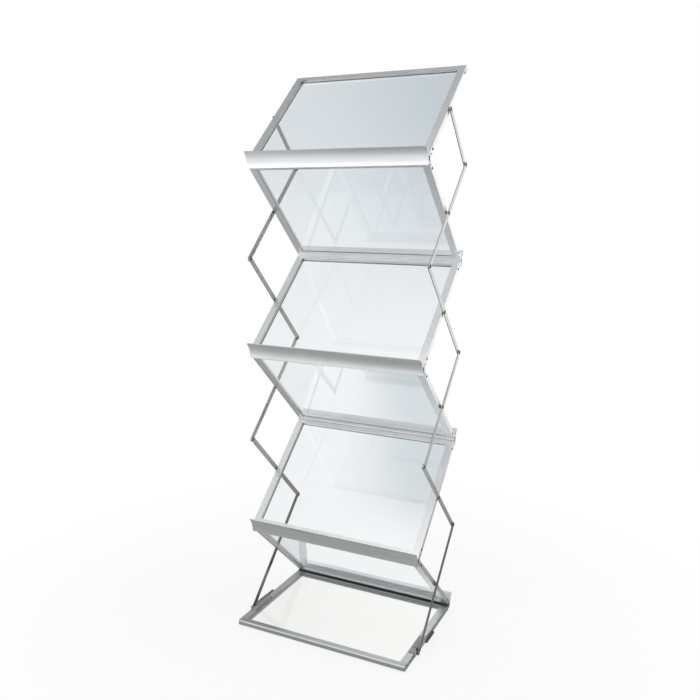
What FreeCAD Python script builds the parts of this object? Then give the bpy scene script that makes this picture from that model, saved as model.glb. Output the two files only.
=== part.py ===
import FreeCAD, Part
import math
import os
import re
from collections import namedtuple

import Sketcher
from FreeCAD import Placement, Rotation, Vector

# Zig-zag brochure stand: six hinged panels with gutters, scissor arms at both sides and a flat base.
# X runs from left to right, Y from front to rear and Z up. The origin is on the floor, under the middle.

# Driving sizes in millimetres and degrees: name, value, meaning
SIZES = (
    ("stand_width", "476", "frames, outside to outside"),
    ("panel_pitch", "340", "hinge axis to hinge axis of one panel, and rivet to rivet of one arm"),
    ("open_angle", "44.6", "slope of a panel's hinge line when the stand is up"),
    ("closed_angle", "4.6", "slope of the hinge line when the stand is folded"),
    ("pivot_line_back", "29.32", "arm pivots behind the origin"),
    ("frame_thick", "13", "thickness of a panel's frame"),
    ("side_rail_wide", "18", "face of a side rail"),
    ("cross_rail_deep", "14", "face of a cross rail"),
    ("rail_wall", "1.6", "wall of a hollow rail"),
    ("sheet_thick", "3", "clear sheet"),
    ("sheet_seat", "7", "depth of the groove that holds the sheet"),
    ("panel_lip", "1.9", "metal under the edge of a panel's sheet"),
    ("fit_gap", "0.3", "clearance round seated pieces"),
    ("bead_radius", "2.6", "round bead of a hinge"),
    ("neck_thick", "2.2", "web that carries the bead"),
    ("neck_angle", "45", "slope of that web in its rail"),
    ("neck_root", "1.2", "how far the web sinks into its rail"),
    ("hinge_play", "0.06", "radial play of the bead in its socket"),
    ("socket_wall", "1.8", "wall of a hinge socket"),
    ("mouth_spare", "6", "angle left free at each edge of the socket's mouth"),
    ("swing_gap", "0.4", "room between a socket and the rail that swings round it"),
    ("port_radius", "1.8", "round channel in a cross rail"),
    ("port_inset", "3.6", "channel from the rail's hinge side"),
    ("port_drop", "3.8", "channel from the rail's outer face"),
    ("gutter_radius", "57", "hollow front of the gutter"),
    ("gutter_wall", "2", "gutter skin"),
    ("gutter_centre_up", "35.2", "centre of the gutter's curve above the frame's lower face"),
    ("gutter_low_angle", "42.4", "gutter's curve below its centre"),
    ("gutter_lip_angle", "1", "gutter's curve above its centre"),
    ("skirt_gap", "0.5", "room between the gutter and the panel below"),
    ("pocket_floor", "2.5", "web between gutter and rail"),
    ("top_round", "3", "rounding of the top rail's upper edges"),
    ("screw_radius", "2", "corner screw"),
    ("screw_play", "0.05", "radial play of screws and rivets in their holes"),
    ("screw_long", "7", "corner screw under its head"),
    ("screw_head_radius", "3.2", "corner screw head"),
    ("screw_head_high", "1", "corner screw head"),
    ("screw_inset", "10", "corner screw from the end of its rail"),
    ("key_long", "22", "corner key inside a side rail"),
    ("arm_wide", "12.5", "flat bar"),
    ("arm_thick", "2.5", "flat bar"),
    ("foot_tail", "8", "lowest arms past their foot rivets"),
    ("arm_gap", "1.5", "inner arms off the side rails"),
    ("layer_gap", "0.5", "between the two layers of arms"),
    ("rivet_radius", "2.5", "rivet shank"),
    ("rivet_head_radius", "4.4", "rivet head"),
    ("rivet_head_high", "1.5", "outer rivet head"),
    ("rivet_set_high", "0.8", "inner rivet head"),
    ("base_deep", "328", "rear hinge axis to the base's front edge"),
    ("base_thick", "15", "thickness of the base's frame"),
    ("base_lip", "1.9", "metal over the edge of the base's sheet"),
    ("front_rail_deep", "16", "face of the base's front rail"),
    ("nose_round", "5", "rounding of the base's front edge"),
    ("track_deep", "3.4", "groove in the outer face of a base side rail"),
    ("track_high", "4", "height of that groove"),
    ("pad_radius", "8", "rubber pad"),
    ("pad_high", "1.5", "rubber pad"),
    ("pad_inset", "40", "rubber pad from the end of its rail"),
    ("shoe_gap", "0.4", "shoe off the side of its rail"),
    ("shoe_plate", "2.8", "outer plate of a shoe"),
    ("shoe_drop", "9.5", "shoe below the foot rivet"),
    ("shoe_rise", "6", "shoe above the foot rivet"),
    ("shoe_front", "22", "shoe in front of the foot rivet"),
    ("shoe_back", "58", "shoe behind the foot rivet"),
    ("saddle_thick", "2", "part of the shoe over the rail"),
    ("saddle_wide", "15", "part of the shoe over the rail"),
    ("tongue_start", "30", "shoe's tongue behind the foot rivet"),
    ("lever_wide", "5.6", "lever at its pivot"),
    ("lever_tip_wide", "6.6", "lever at its tip"),
    ("lever_long", "46", "lever from pivot to tip"),
    ("lever_high", "4.5", "thickness of the lever"),
    ("lever_pin_radius", "1.5", "upright pin of the lever"),
    ("lever_inset", "6", "lever pivot from the shoe's rear end"),
    ("ear_high", "2", "shoe's ear under the lever"),
)
NAMES = {name for name, value, meaning in SIZES}
PANELS = 6
SIDES = {"left": -1, "right": 1}

doc = FreeCAD.newDocument("brochure_stand")
sheet = doc.addObject("Spreadsheet::Sheet", "Sizes")
for row, (name, value, meaning) in enumerate(SIZES, start=1):
    sheet.set(f"A{row}", value)
    sheet.setAlias(f"A{row}", name)
    sheet.set(f"B{row}", meaning)
doc.recompute()


def size(name):
    """Value of one driving size."""
    return float(sheet.get(name))


def bound(text):
    """The formula with each size's name tied to its cell."""
    return re.sub(r"[a-z_]+", lambda word: f"Sizes.{word[0]}" if word[0] in NAMES else word[0], text)


# Formulas that several pieces share
HALF_WIDTH = "stand_width / 2"
PANEL_LONG = "sqrt(panel_pitch ^ 2 - frame_thick ^ 2)"
TILT = "asin(frame_thick / panel_pitch)"
PANEL_SLOPE = f"(open_angle * 1 deg - {TILT})"
CLOSED_SLOPE = f"(closed_angle * 1 deg - {TILT})"
BORE = "(bead_radius + hinge_play)"
SOCKET = f"({BORE} + socket_wall)"
CLEARED = f"({SOCKET} + swing_gap)"
MOUTH_MIDDLE = f"(-neck_angle * 1 deg - {PANEL_SLOPE} - {CLOSED_SLOPE} / 2)"
MOUTH_HALF = f"({PANEL_SLOPE} - {CLOSED_SLOPE} / 2 + asin(neck_thick / 2 / {BORE}) + mouth_spare * 1 deg)"
GUTTER_FRONT = "(frame_thick + skirt_gap + sqrt((gutter_radius + gutter_wall) ^ 2 - gutter_centre_up ^ 2))"
FLOOR_DROP = "(gutter_centre_up - frame_thick + pocket_floor / 2)"
FLOOR_FRONT = f"({GUTTER_FRONT} - sqrt((gutter_radius + gutter_wall / 2) ^ 2 - {FLOOR_DROP} ^ 2))"
SIDE_INNER = f"({HALF_WIDTH} - side_rail_wide)"
CHAMBER_INNER = f"({SIDE_INNER} + sheet_seat + rail_wall)"
TRACK_LOW = "(base_thick / 2 - track_high / 2)"
TRACK_TOP = "(base_thick / 2 + track_high / 2)"
LAYERS = ("arm_gap", "(arm_gap + arm_thick + layer_gap)")

# A frame's thickness, and the lower and upper wall of its sheet groove above its lower face
Frame = namedtuple("Frame", "thick low high")
PANEL_FRAME = Frame("frame_thick", "panel_lip", "(panel_lip + sheet_thick + 2 * fit_gap)")
BASE_FRAME = Frame("base_thick", "(base_thick - base_lip - sheet_thick - 2 * fit_gap)",
                   "(base_thick - base_lip)")

# Places that follow from the sizes
TILT_DEGREES = math.degrees(math.asin(size("frame_thick") / size("panel_pitch")))
SLOPE_DEGREES = size("open_angle") - TILT_DEGREES
RISE = size("panel_pitch") * math.sin(math.radians(size("open_angle")))
HALF_RUN = size("panel_pitch") * math.cos(math.radians(size("open_angle"))) / 2
HINGE_HEIGHT = size("pad_high") + size("base_thick")
PIVOT_Y = size("pivot_line_back")
ACROSS = Vector(1, 0, 0)
UPRIGHT = Vector(0, 0, 1)
HALF_TURN = 180
QUARTER_TURN = 90
TURNED_ROUND = Rotation(UPRIGHT, HALF_TURN)

nodes = []
cuts = []


def keep(piece, label):
    """Names a finished piece, which names its file too."""
    piece.Label = label
    nodes.append(piece)
    return piece


def new_body(name, place):
    """Empty body of one piece at its place."""
    body = doc.addObject("PartDesign::Body", name)
    body.Placement = place
    return body


def new_sketch(body, plane, offset=None):
    """Sketch on one of the body's own planes, moved off it along its normal by a formula."""
    sketch = body.newObject("Sketcher::SketchObject", "outline")
    base = next(feature for feature in body.Origin.OriginFeatures if feature.Role == plane)
    sketch.AttachmentSupport = [(base, "")]
    sketch.MapMode = "FlatFace"
    if offset:
        sketch.setExpression("AttachmentOffset.Base.z", bound(offset))
    return sketch


def value(sketch, formula):
    """What a formula gives, as a plain number."""
    result = sketch.evalExpression(bound(formula))
    return float(getattr(result, "Value", result))


def locate(sketch, element, point, formulas):
    """Ties one point of the sketch to its two formulas."""
    for kind, formula, axis in zip(("DistanceX", "DistanceY"), formulas, (-2, -1)):
        if formula == "0":
            sketch.addConstraint(Sketcher.Constraint("PointOnObject", element, point, axis))
        elif formula:
            given = Sketcher.Constraint(kind, -1, 1, element, point, value(sketch, formula))
            sketch.setExpression(f"Constraints[{sketch.addConstraint(given)}]", bound(formula))


def join_ends(sketch, elements):
    """Closes a chain of elements, each one's end on the next one's start."""
    for element, following in zip(elements, elements[1:] + elements[:1]):
        sketch.addConstraint(Sketcher.Constraint("Coincident", element, 2, following, 1))


def outline(sketch, points):
    """Closed outline of straight lines through points given as pairs of formulas."""
    corners = [Vector(value(sketch, across), value(sketch, up), 0) for across, up in points]
    lines = []
    for start, end in zip(corners, corners[1:] + corners[:1]):
        lines.append(sketch.addGeometry(Part.LineSegment(start, end)))
    join_ends(sketch, lines)
    for line, formulas in zip(lines, points):
        locate(sketch, line, 1, formulas)


def box_outline(sketch, left, right, low, high):
    """Closed rectangle between two formulas each way."""
    outline(sketch, ((left, low), (right, low), (right, high), (left, high)))


def circle(sketch, across, up, radius):
    """Circle given by formulas for its centre and radius."""
    middle = Vector(value(sketch, across), value(sketch, up), 0)
    ring = sketch.addGeometry(Part.Circle(middle, UPRIGHT, value(sketch, radius)))
    locate(sketch, ring, 3, (across, up))
    given = Sketcher.Constraint("Radius", ring, value(sketch, radius))
    sketch.setExpression(f"Constraints[{sketch.addConstraint(given)}]", bound(radius))


def pad(body, sketch, length, reverse=False, both=False):
    """Extrudes the sketch by a formula, to one side or evenly to both."""
    feature = body.newObject("PartDesign::Pad", "pad")
    feature.Profile = sketch
    feature.setExpression("Length", bound(length))
    feature.Reversed = reverse
    feature.SideType = "Symmetric" if both else "One side"
    return feature


def pocket(body, sketch, length=None, reverse=False):
    """Cuts the sketch to a depth, or without one right through both ways."""
    feature = body.newObject("PartDesign::Pocket", "pocket")
    feature.Profile = sketch
    feature.Reversed = reverse
    if length:
        feature.setExpression("Length", bound(length))
    else:
        feature.Type = "ThroughAll"
        feature.SideType = "Symmetric"
    cuts.append(feature)
    return feature


def round_edges(body, radius, wanted):
    """Rounds the edges of the body's last feature that the test picks."""
    doc.recompute()
    base = body.Tip
    picked = [f"Edge{number}" for number, edge in enumerate(base.Shape.Edges, start=1) if wanted(edge)]
    feature = body.newObject("PartDesign::Fillet", "rounding")
    feature.Base = (base, picked)
    feature.setExpression("Radius", bound(radius))
    return feature


def runs_across(edge, across, up):
    """True for a straight edge along X through the given point of the cross section."""
    start, end = edge.Vertexes[0].Point, edge.Vertexes[-1].Point
    slack = size("fit_gap") / 2
    level = abs(start.y - end.y) < slack and abs(start.z - end.z) < slack
    return level and abs(start.y - across) < slack and abs(start.z - up) < slack


def turned(name, profile, place):
    """Turned piece: a half outline of formulas (along, radius), revolved round its long axis."""
    body = new_body(name, place)
    sketch = new_sketch(body, "XY_Plane")
    outline(sketch, profile)
    feature = body.newObject("PartDesign::Revolution", "turning")
    feature.Profile = sketch
    feature.ReferenceAxis = (sketch, ["H_Axis"])
    return body


def steps(first, sections):
    """Half outline of a turned piece from its first end and (end, radius) sections."""
    points = [(first, "0")]
    start = first
    for end, radius in sections:
        points += [(start, radius), (end, radius)]
        start = end
    return points + [(start, "0")]


def group(label, pieces):
    """Several separate solids that share one node."""
    together = doc.addObject("Part::Compound", label)
    together.Links = pieces
    return keep(together, label)


def on_side(side):
    """Turns a piece made for the right so that its outward end points out of the given side."""
    return Rotation() if side > 0 else TURNED_ROUND


def top_rail(label, place, frame, hinged=True):
    """Upper cross rail; its hinge axis is its own origin, at the end of its upper face."""
    body = new_body(label, place)
    inner = "-cross_rail_deep"
    seat = "sheet_seat - cross_rail_deep"
    bottom = f"-{frame.thick}"
    low, high = f"{frame.low} - {frame.thick}", f"{frame.high} - {frame.thick}"
    section = new_sketch(body, "YZ_Plane")
    outline(section, (
        (inner, "0"), ("0", "0"), ("0", bottom), (inner, bottom),
        (inner, low), (seat, low), (seat, high), (inner, high),
    ))
    pad(body, section, "stand_width", both=True)
    port = new_sketch(body, "YZ_Plane")
    circle(port, "-port_inset", f"port_drop - {frame.thick}", "port_radius")
    pocket(body, port)
    if hinged:
        add_bead(body)
    else:
        floor = -size(frame.thick)
        round_edges(body, "top_round", lambda edge: runs_across(edge, 0, 0) or runs_across(edge, 0, floor))
    return keep(body, label)


def add_bead(body):
    """Clears the rail round its hinge axis and puts the hinge bead there, on a slanted web."""
    room = new_sketch(body, "YZ_Plane")
    circle(room, "0", "0", CLEARED)
    pocket(body, room)
    reach = f"({CLEARED} + neck_root)"
    along, side = "cos(neck_angle)", "sin(neck_angle)"
    web = new_sketch(body, "YZ_Plane")
    outline(web, (
        (f"neck_thick / 2 * {side}", f"-neck_thick / 2 * {along}"),
        (f"-neck_thick / 2 * {side}", f"neck_thick / 2 * {along}"),
        (f"-{reach} * {along} - neck_thick / 2 * {side}", f"-{reach} * {side} + neck_thick / 2 * {along}"),
        (f"-{reach} * {along} + neck_thick / 2 * {side}", f"-{reach} * {side} - neck_thick / 2 * {along}"),
    ))
    pad(body, web, "stand_width", both=True)
    bead = new_sketch(body, "YZ_Plane")
    circle(bead, "0", "0", "bead_radius")
    pad(body, bead, "stand_width", both=True)


def gutter_rail(label, place):
    """Lower cross rail with its hinge socket, pocket floor and curved gutter in one extrusion."""
    body = new_body(label, place)
    seat = "cross_rail_deep - sheet_seat"
    floor_low = "frame_thick - pocket_floor"
    low, high = PANEL_FRAME.low, PANEL_FRAME.high
    section = new_sketch(body, "YZ_Plane")
    outline(section, (
        (f"-{FLOOR_FRONT}", "frame_thick"), ("cross_rail_deep", "frame_thick"),
        ("cross_rail_deep", high), (seat, high), (seat, low), ("cross_rail_deep", low),
        ("cross_rail_deep", "0"), ("0", "0"), ("0", floor_low), (f"-{FLOOR_FRONT}", floor_low),
    ))
    pad(body, section, "stand_width", both=True)
    skin = new_sketch(body, "YZ_Plane")
    gutter_outline(skin)
    pad(body, skin, "stand_width", both=True)
    socket = new_sketch(body, "YZ_Plane")
    circle(socket, "0", "0", SOCKET)
    pad(body, socket, "stand_width", both=True)
    bore = new_sketch(body, "YZ_Plane")
    circle(bore, "0", "0", BORE)
    pocket(body, bore)
    mouth = new_sketch(body, "YZ_Plane")
    mouth_outline(mouth)
    pocket(body, mouth)
    port = new_sketch(body, "YZ_Plane")
    circle(port, "port_inset", "frame_thick - port_drop", "port_radius")
    pocket(body, port)
    return keep(body, label)


def gutter_outline(sketch):
    """Gutter skin: two arcs about one centre in front of the panel, closed by short radial ends."""
    middle = Vector(-value(sketch, GUTTER_FRONT), size("gutter_centre_up"), 0)
    low = math.radians(-size("gutter_low_angle"))
    lip = math.radians(size("gutter_lip_angle"))
    radii = ("gutter_radius", "(gutter_radius + gutter_wall)")
    rings = [Part.Circle(middle, UPRIGHT, value(sketch, radius)) for radius in radii]
    front, back = [sketch.addGeometry(Part.ArcOfCircle(ring, low, lip)) for ring in rings]
    ends = [(ring.value(low), ring.value(lip)) for ring in rings]
    top = sketch.addGeometry(Part.LineSegment(ends[0][1], ends[1][1]))
    bottom = sketch.addGeometry(Part.LineSegment(ends[1][0], ends[0][0]))
    for element, point, line, end in ((front, 2, top, 1), (back, 2, top, 2), (back, 1, bottom, 1),
                                      (front, 1, bottom, 2), (front, 3, back, 3)):
        sketch.addConstraint(Sketcher.Constraint("Coincident", element, point, line, end))
    locate(sketch, front, 3, (f"-{GUTTER_FRONT}", "gutter_centre_up"))
    for arc, radius in ((front, radii[0]), (back, radii[1])):
        given = Sketcher.Constraint("Radius", arc, value(sketch, radius))
        sketch.setExpression(f"Constraints[{sketch.addConstraint(given)}]", bound(radius))
        locate(sketch, arc, 1, (None, f"gutter_centre_up - {radius} * sin(gutter_low_angle)"))
        locate(sketch, arc, 2, (None, f"gutter_centre_up + {radius} * sin(gutter_lip_angle)"))


def mouth_outline(sketch):
    """Mouth of the hinge socket: a wedge from the axis, wide enough for the bead's web to swing."""
    reach = f"(2 * {SOCKET})"
    points = [("0", "0")]
    for turn in ("-", "", "+"):
        angle = f"({MOUTH_MIDDLE} {turn} {MOUTH_HALF})" if turn else MOUTH_MIDDLE
        points.append((f"{reach} * cos({angle})", f"{reach} * sin({angle})"))
    outline(sketch, points)


def side_rail(label, place, side, length, frame, track=False):
    """Hollow side rail with the sheet's groove inside; a base rail also has a track in its outer face."""
    body = new_body(label, place)
    sign = "" if side > 0 else "-"
    outer = f"{sign}{HALF_WIDTH}"
    inner = f"{sign}{SIDE_INNER}"
    seat = f"{sign}({SIDE_INNER} + sheet_seat)"
    points = [(inner, "0"), (outer, "0")]
    chamber_outer = f"{sign}({HALF_WIDTH} - rail_wall)"
    if track:
        bottom = f"{sign}({HALF_WIDTH} - track_deep)"
        chamber_outer = f"{sign}({HALF_WIDTH} - track_deep - rail_wall)"
        points += [(outer, TRACK_LOW), (bottom, TRACK_LOW), (bottom, TRACK_TOP), (outer, TRACK_TOP)]
    points += [(outer, frame.thick), (inner, frame.thick), (inner, frame.high), (seat, frame.high),
               (seat, frame.low), (inner, frame.low)]
    section = new_sketch(body, "XZ_Plane")
    outline(section, points)
    box_outline(section, f"{sign}{CHAMBER_INNER}", chamber_outer, "rail_wall", f"{frame.thick} - rail_wall")
    pad(body, section, length, reverse=True)
    if track:
        holes = new_sketch(body, "XY_Plane")
        middle = f"{sign}({CHAMBER_INNER} + {HALF_WIDTH} - track_deep - rail_wall) / 2"
    else:
        holes = new_sketch(body, "YZ_Plane", outer)
    for along in ("screw_inset", f"{length} - screw_inset"):
        across, up = (middle, along) if track else (along, "frame_thick / 2")
        circle(holes, across, up, "screw_radius + screw_play")
    if not track:
        circle(holes, f"({length}) / 2", "frame_thick / 2", "rivet_radius + screw_play")
    pocket(body, holes, "rail_wall + fit_gap", reverse=track or side < 0)
    return keep(body, label)


def clear_sheet(label, place, length):
    """Clear sheet, seated in the grooves all round, with its lower edge at its own origin."""
    body = new_body(label, place)
    half = f"({SIDE_INNER} + sheet_seat - fit_gap)"
    face = new_sketch(body, "XY_Plane")
    box_outline(face, f"-{half}", half, "0", length)
    pad(body, face, "sheet_thick", both=True)
    return keep(body, label)


def corner_key(place, side, end, outer, frame, upright):
    """Key in the hollow of a side rail with a tongue in the cross rail; end is 1 where it points along +Y."""
    body = new_body("corner_key", place)
    sign = "" if side > 0 else "-"
    near = f"{sign}({CHAMBER_INNER} + fit_gap)"
    far = f"{sign}({outer} - fit_gap)"
    block = new_sketch(body, "XZ_Plane")
    box_outline(block, near, far, "rail_wall + fit_gap", f"{frame.thick} - rail_wall - fit_gap")
    pad(body, block, "key_long", reverse=end > 0)
    tongue = new_sketch(body, "XZ_Plane")
    box_outline(tongue, near, far, f"{frame.low} + fit_gap", f"{frame.high} - fit_gap")
    pad(body, tongue, "sheet_seat - fit_gap", reverse=end < 0)
    along = "screw_inset" if end > 0 else "-screw_inset"
    hole = new_sketch(body, "XY_Plane" if upright else "YZ_Plane")
    if upright:
        circle(hole, f"{sign}({CHAMBER_INNER} + {outer}) / 2", along, "screw_radius + screw_play")
    else:
        circle(hole, along, f"{frame.thick} / 2", "screw_radius + screw_play")
    pocket(body, hole)
    return body


def screw(place):
    """Corner screw along X with its head outwards, seated at its own origin."""
    profile = steps("-screw_long", (("0", "screw_radius"), ("screw_head_high", "screw_head_radius")))
    return turned("corner_screw", profile, place)


def panel_place(number):
    """Frame of a panel: origin on its lower hinge axis, Y up along the panel, Z out of its upper face."""
    odd = number % 2
    lift = Rotation(ACROSS, SLOPE_DEGREES)
    turn = TURNED_ROUND.multiply(lift) if odd else lift
    depth = PIVOT_Y + HALF_RUN if odd else PIVOT_Y - HALF_RUN
    return Placement(Vector(0, depth, HINGE_HEIGHT + (number - 1) * RISE), turn)


def moved(place, across=0, along=0, up=0, turn=Rotation()):
    """A place shifted, and then turned, in its own frame."""
    return place.multiply(Placement(Vector(across, along, up), turn))


def build_panel(number):
    """One panel: two cross rails, two side rails, the sheet and its fixings."""
    place = panel_place(number)
    name = f"panel_{number}"
    long = math.sqrt(size("panel_pitch") ** 2 - size("frame_thick") ** 2)
    deep, thick, half = size("cross_rail_deep"), size("frame_thick"), size("stand_width") / 2
    rail = f"({PANEL_LONG} - 2 * cross_rail_deep)"
    rail_long = long - 2 * deep
    gutter_rail(f"{name}_gutter_rail", place)
    top_rail(f"{name}_top_rail", moved(place, along=long, up=thick), PANEL_FRAME, number < PANELS)
    layer = LAYERS[number % 2]
    fixings = []
    for world_side, facing in SIDES.items():
        side = -facing if number % 2 else facing
        rail_place = moved(place, along=deep)
        side_rail(f"{name}_{world_side}_rail", rail_place, side, rail, PANEL_FRAME)
        for end, start in ((1, 0), (-1, rail_long)):
            seat = moved(rail_place, along=start)
            outer = f"({HALF_WIDTH} - rail_wall)"
            fixings.append(corner_key(seat, side, end, outer, PANEL_FRAME, upright=False))
            spot = moved(seat, side * half, end * size("screw_inset"), thick / 2, on_side(side))
            fixings.append(screw(spot))
        spot = moved(place, across=side * half, along=long / 2, up=thick / 2, turn=on_side(side))
        fixings.append(pivot_rivet(spot, layer))
    edge = deep - size("sheet_seat") + size("fit_gap")
    sheet_long = f"{PANEL_LONG} - 2 * (cross_rail_deep - sheet_seat + fit_gap)"
    level = size("panel_lip") + size("fit_gap") + size("sheet_thick") / 2
    clear_sheet(f"{name}_sheet", moved(place, along=edge, up=level), sheet_long)
    group(f"{name}_fixings", fixings)


def pivot_rivet(place, layer):
    """Shoulder rivet set in a side rail: the shoulder holds its arm at the height of the arm's layer."""
    profile = steps("-rail_wall - rivet_set_high", (
        ("-rail_wall", "rivet_head_radius"),
        ("0", "rivet_radius"),
        (f"{layer} - fit_gap", "rivet_head_radius"),
        (f"{layer} + arm_thick + fit_gap", "rivet_radius"),
        (f"{layer} + arm_thick + fit_gap + rivet_head_high", "rivet_head_radius"),
    ))
    return turned("pivot_rivet", profile, place)


def arm(place, side, layer, start, rivets):
    """Flat bar with round ends from its start to its last rivet, its middle pivot at its own origin."""
    body = new_body("arm", place)
    reach = rivets[-1]
    face = f"{HALF_WIDTH} + {layer}" if side > 0 else f"-({HALF_WIDTH} + {layer} + arm_thick)"
    bar = new_sketch(body, "YZ_Plane", face)
    box_outline(bar, start, reach, "-arm_wide / 2", "arm_wide / 2")
    pad(body, bar, "arm_thick")
    ends = new_sketch(body, "YZ_Plane", face)
    for along in (start, reach):
        circle(ends, along, "0", "arm_wide / 2")
    pad(body, ends, "arm_thick")
    holes = new_sketch(body, "YZ_Plane", face)
    for along in rivets:
        circle(holes, along, "0", "rivet_radius + screw_play")
    pocket(body, holes)
    return body


def build_arms(number):
    """Pair of arms of one panel; they cross the panel the other way, so they slope against it."""
    slope = size("open_angle") if number % 2 else -size("open_angle")
    spot = Vector(0, PIVOT_Y, HINGE_HEIGHT + (2 * number - 1) * RISE / 2)
    place = Placement(spot, Rotation(ACROSS, slope))
    start, rivets = "-panel_pitch / 2", ("-panel_pitch / 2", "0", "panel_pitch / 2")
    if number == 1:
        start = "-panel_pitch / 2 - foot_tail"
    elif number == PANELS:
        start, rivets = "0", rivets[1:]
    pair = [arm(place, side, LAYERS[number % 2], start, rivets) for side in SIDES.values()]
    group(f"arms_{number}", pair)


def build_elbow(number):
    """Rivets where the arms of two panels meet, opposite the hinge of those panels."""
    depth = PIVOT_Y + (HALF_RUN if number % 2 else -HALF_RUN)
    inner, outer = LAYERS
    profile = steps(f"{inner} - fit_gap - rivet_set_high", (
        (f"{inner} - fit_gap", "rivet_head_radius"),
        (f"{outer} + arm_thick + fit_gap", "rivet_radius"),
        (f"{outer} + arm_thick + fit_gap + rivet_head_high", "rivet_head_radius"),
    ))
    pair = []
    for side in SIDES.values():
        spot = Vector(side * size("stand_width") / 2, depth, HINGE_HEIGHT + number * RISE)
        pair.append(turned("elbow_rivet", profile, Placement(spot, on_side(side))))
    group(f"elbow_rivets_{number}", pair)


def front_rail(place):
    """Front rail of the base: rounded nose, groove for the sheet and a round channel."""
    body = new_body("base_front_rail", place)
    seat = "front_rail_deep - sheet_seat"
    thick, low, high = BASE_FRAME
    section = new_sketch(body, "YZ_Plane")
    outline(section, (
        ("0", "0"), ("front_rail_deep", "0"), ("front_rail_deep", low), (seat, low),
        (seat, high), ("front_rail_deep", high), ("front_rail_deep", thick), ("0", thick),
    ))
    pad(body, section, "stand_width", both=True)
    port = new_sketch(body, "YZ_Plane")
    circle(port, "nose_round", f"{thick} / 2", "port_radius")
    pocket(body, port)
    top = size(thick)
    round_edges(body, "nose_round", lambda edge: runs_across(edge, 0, 0) or runs_across(edge, 0, top))
    return keep(body, "base_front_rail")


def build_base():
    """Base: four rails, sheet, fixings and pads; its rear rail carries the lowest hinge."""
    half, deep = size("stand_width") / 2, size("cross_rail_deep")
    hinge_y = PIVOT_Y + HALF_RUN
    front_y = hinge_y - size("base_deep")
    floor_place = Placement(Vector(0, front_y, size("pad_high")), Rotation())
    top_rail("base_rear_rail", Placement(Vector(0, hinge_y, HINGE_HEIGHT), Rotation()), BASE_FRAME)
    front_rail(floor_place)
    rail = "(base_deep - front_rail_deep - cross_rail_deep)"
    rail_long = size("base_deep") - size("front_rail_deep") - deep
    rail_place = moved(floor_place, along=size("front_rail_deep"))
    middle = half - (size("side_rail_wide") - size("sheet_seat") + size("track_deep")) / 2
    down = Rotation(Vector(0, 1, 0), QUARTER_TURN)
    fixings, pads = [], []
    for world_side, side in SIDES.items():
        side_rail(f"base_{world_side}_rail", rail_place, side, rail, BASE_FRAME, track=True)
        for end, start in ((1, 0), (-1, rail_long)):
            seat = moved(rail_place, along=start)
            outer = f"({HALF_WIDTH} - track_deep - rail_wall)"
            fixings.append(corner_key(seat, side, end, outer, BASE_FRAME, upright=True))
            fixings.append(screw(moved(seat, side * middle, end * size("screw_inset"), turn=down)))
            pad_spot = moved(seat, side * (half - size("side_rail_wide") / 2), end * size("pad_inset"))
            pads.append(rubber_pad(pad_spot))
    edge = size("front_rail_deep") - size("sheet_seat") + size("fit_gap")
    sheet_long = "base_deep - front_rail_deep - cross_rail_deep + 2 * sheet_seat - 2 * fit_gap"
    level = size("base_thick") - size("base_lip") - size("fit_gap") - size("sheet_thick") / 2
    clear_sheet("base_sheet", moved(floor_place, along=edge, up=level), sheet_long)
    group("base_fixings", fixings)
    group("base_pads", pads)


def rubber_pad(place):
    """Round rubber pad under a rail."""
    pad_solid = doc.addObject("Part::Cylinder", "rubber_pad")
    pad_solid.setExpression("Radius", bound("pad_radius"))
    pad_solid.setExpression("Height", bound("pad_high"))
    pad_solid.Placement = moved(place, up=-size("pad_high"))
    return pad_solid


def shoe(world_side, place):
    """Shoe on a base rail: plate beside it, saddle over it, tongue in its track and an ear for the lever."""
    side = SIDES[world_side]
    sign = "" if side > 0 else "-"
    body = new_body(f"{world_side}_shoe", place)
    inner = f"{sign}({HALF_WIDTH} + shoe_gap)"
    outer = f"{sign}({HALF_WIDTH} + shoe_gap + shoe_plate)"
    saddle = f"{sign}({HALF_WIDTH} - saddle_wide)"
    section = new_sketch(body, "XZ_Plane", "shoe_front")
    outline(section, (
        (saddle, "fit_gap"), (inner, "fit_gap"), (inner, "-shoe_drop"), (outer, "-shoe_drop"),
        (outer, "shoe_rise"), (inner, "shoe_rise"), (inner, "fit_gap + saddle_thick"),
        (saddle, "fit_gap + saddle_thick"),
    ))
    pad(body, section, "shoe_front + shoe_back", reverse=True)
    tongue = new_sketch(body, "XZ_Plane", "-tongue_start")
    box_outline(tongue, f"{sign}({HALF_WIDTH} - track_deep + fit_gap)", inner,
                f"{TRACK_LOW} - base_thick + fit_gap", f"{TRACK_TOP} - base_thick - fit_gap")
    pad(body, tongue, "shoe_back - tongue_start", reverse=True)
    ear = new_sketch(body, "XY_Plane", "-shoe_drop")
    lever_x = f"{sign}({HALF_WIDTH} + shoe_gap + shoe_plate + fit_gap + lever_wide / 2)"
    lever_y = "shoe_back - lever_inset"
    box_outline(ear, outer, lever_x, f"{lever_y} - lever_wide / 2", f"{lever_y} + lever_wide / 2")
    pad(body, ear, "ear_high")
    boss = new_sketch(body, "XY_Plane", "-shoe_drop")
    circle(boss, lever_x, lever_y, "lever_wide / 2")
    pad(body, boss, "ear_high")
    pin = new_sketch(body, "XY_Plane", "-shoe_drop")
    circle(pin, lever_x, lever_y, "lever_pin_radius")
    pad(body, pin, "ear_high + fit_gap + lever_high")
    hole = new_sketch(body, "YZ_Plane")
    circle(hole, "0", "0", "rivet_radius + screw_play")
    pocket(body, hole)
    return keep(body, f"{world_side}_shoe")


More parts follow.
